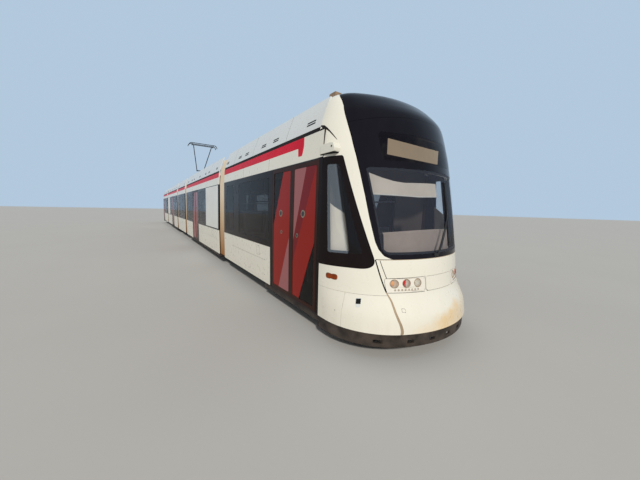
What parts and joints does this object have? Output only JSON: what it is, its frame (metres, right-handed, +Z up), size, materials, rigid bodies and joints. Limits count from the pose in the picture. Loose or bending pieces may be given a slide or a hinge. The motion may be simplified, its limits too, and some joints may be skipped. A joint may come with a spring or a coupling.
{
  "type": "articulated low-floor tram",
  "caption": "Articulated low-floor tram with rounded glazed cabs at both ends, short suspended modules, bellows gangways, wheeled bogies and a raised single-arm pantograph.",
  "frame": {"origin": "under the middle of the middle module, at the level of the wheel flanges' tips", "axes": "+X along the tram to the end shown in the picture, +Y to its left, +Z up"},
  "size_m": [32.6, 2.65, 5.7085],
  "materials": {
    "body_panel": "satin off-white paint",
    "window_band": "gloss black panel",
    "dark_glass": "tinted glass",
    "clear_glass": "lightly tinted glass",
    "door_frame": "satin dark brown paint",
    "roof_shroud": "satin pale grey paint",
    "lamp_lens": "clear lens in a dark plate",
    "underframe": "dusty dark paint",
    "bogie_frame": "dusty painted steel",
    "interior": "matt plastic and fabric",
    "bellows": "coated fabric folds",
    "wheel_steel": "rusty sides, bright treads",
    "pantograph": "satin paint",
    "contact_strip": "carbon strips"
  },
  "bodies": {
    "centre": {"centre_skirt": "body_panel", "centre_band": "window_band", "centre_glass": "dark_glass", "centre_roof": "roof_shroud", "centre_floor": "underframe", "centre_inside": "interior", "centre_bogie": "bogie_frame", "panto_base": "pantograph"},
    "mid_a": {"mid_skirt_a": "body_panel", "mid_band_a": "window_band", "mid_glass_a": "dark_glass", "mid_doors_a": "door_frame", "mid_roof_a": "roof_shroud", "mid_floor_a": "underframe", "mid_inside_a": "interior", "mid_bellows_a": "bellows"},
    "cab_a": {"cab_skirt_a": "body_panel", "cab_band_a": "window_band", "cab_glass_a": "dark_glass", "cab_doors_a": "door_frame", "cab_roof_a": "roof_shroud", "cab_mask_a": "window_band", "cab_windscreen_a": "clear_glass", "cab_nose_a": "body_panel", "cab_lamps_a": "lamp_lens", "cab_floor_a": "underframe", "cab_bogie_a": "bogie_frame", "cab_inside_a": "interior", "driver_place_a": "interior"},
    "mid_b": {"mid_skirt_b": "body_panel", "mid_band_b": "window_band", "mid_glass_b": "dark_glass", "mid_doors_b": "door_frame", "mid_roof_b": "roof_shroud", "mid_floor_b": "underframe", "mid_inside_b": "interior", "mid_bellows_b": "bellows"},
    "cab_b": {"cab_skirt_b": "body_panel", "cab_band_b": "window_band", "cab_glass_b": "dark_glass", "cab_doors_b": "door_frame", "cab_roof_b": "roof_shroud", "cab_mask_b": "window_band", "cab_windscreen_b": "clear_glass", "cab_nose_b": "body_panel", "cab_lamps_b": "lamp_lens", "cab_floor_b": "underframe", "cab_bogie_b": "bogie_frame", "cab_inside_b": "interior", "driver_place_b": "interior"},
    "axle_outer_a": {"wheelset_outer_a": "wheel_steel"},
    "axle_outer_b": {"wheelset_outer_b": "wheel_steel"},
    "axle_inner_a": {"wheelset_inner_a": "wheel_steel"},
    "axle_inner_b": {"wheelset_inner_b": "wheel_steel"},
    "axle_centre_a": {"wheelset_centre_a": "wheel_steel"},
    "axle_centre_b": {"wheelset_centre_b": "wheel_steel"},
    "panto_lower": {"panto_lower": "pantograph"},
    "panto_upper": {"panto_upper": "pantograph"},
    "panto_head": {"panto_head": "contact_strip"},
    "panto_rod": {"panto_rod": "pantograph"}
  },
  "joints": [
    {"name": "mid_yaw_a", "type": "hinge", "parent": "centre", "child": "mid_a", "pos_m": [1.955, 0, 0.266], "axis": [0, 0, 1], "range_deg": [-16, 16], "deforming": ["mid_bellows_a"]},
    {"name": "cab_yaw_a", "type": "hinge", "parent": "mid_a", "child": "cab_a", "pos_m": [9.685, 0, 0.266], "axis": [0, 0, 1], "range_deg": [-16, 16], "deforming": ["mid_bellows_a"]},
    {"name": "mid_yaw_b", "type": "hinge", "parent": "centre", "child": "mid_b", "pos_m": [-1.955, 0, 0.266], "axis": [0, 0, 1], "range_deg": [-16, 16], "deforming": ["mid_bellows_b"]},
    {"name": "cab_yaw_b", "type": "hinge", "parent": "mid_b", "child": "cab_b", "pos_m": [-9.685, 0, 0.266], "axis": [0, 0, 1], "range_deg": [-16, 16], "deforming": ["mid_bellows_b"]},
    {"name": "axle_outer_a_spin", "type": "hinge", "parent": "cab_a", "child": "axle_outer_a", "pos_m": [12.6, 0, 0.351], "axis": [0, 1, 0], "continuous": true},
    {"name": "axle_inner_a_spin", "type": "hinge", "parent": "cab_a", "child": "axle_inner_a", "pos_m": [10.8, 0, 0.351], "axis": [0, 1, 0], "continuous": true},
    {"name": "axle_centre_a_spin", "type": "hinge", "parent": "centre", "child": "axle_centre_a", "pos_m": [0.9, 0, 0.351], "axis": [0, 1, 0], "continuous": true},
    {"name": "axle_outer_b_spin", "type": "hinge", "parent": "cab_b", "child": "axle_outer_b", "pos_m": [-12.6, 0, 0.351], "axis": [0, 1, 0], "continuous": true},
    {"name": "axle_inner_b_spin", "type": "hinge", "parent": "cab_b", "child": "axle_inner_b", "pos_m": [-10.8, 0, 0.351], "axis": [0, 1, 0], "continuous": true},
    {"name": "axle_centre_b_spin", "type": "hinge", "parent": "centre", "child": "axle_centre_b", "pos_m": [-0.9, 0, 0.351], "axis": [0, 1, 0], "continuous": true},
    {"name": "panto_raise", "type": "hinge", "parent": "centre", "child": "panto_lower", "pos_m": [-0.2, 0, 3.316], "axis": [0, -1, 0], "range_deg": [0, 52]},
    {"name": "panto_knee", "type": "hinge", "parent": "panto_lower", "child": "panto_upper", "pos_m": [-0.845, 0, 4.207], "axis": [0, 1, 0], "range_deg": [0, 103.2]},
    {"name": "panto_level", "type": "hinge", "parent": "panto_upper", "child": "panto_head", "pos_m": [0.2057, 0, 5.6065], "axis": [0, 1, 0], "range_deg": [-51.2, 0]},
    {"name": "panto_thrust", "type": "hinge", "parent": "centre", "child": "panto_rod", "pos_m": [-0.18, 0.2, 3.166], "axis": [0, -1, 0], "range_deg": [0, 53.75]}
  ],
  "couplings": [
    {"joint": "panto_knee", "follows": "panto_raise", "ratio": 1.984},
    {"joint": "panto_level", "follows": "panto_raise", "ratio": -0.984},
    {"joint": "panto_thrust", "follows": "panto_raise", "ratio": 1.033}
  ]
}
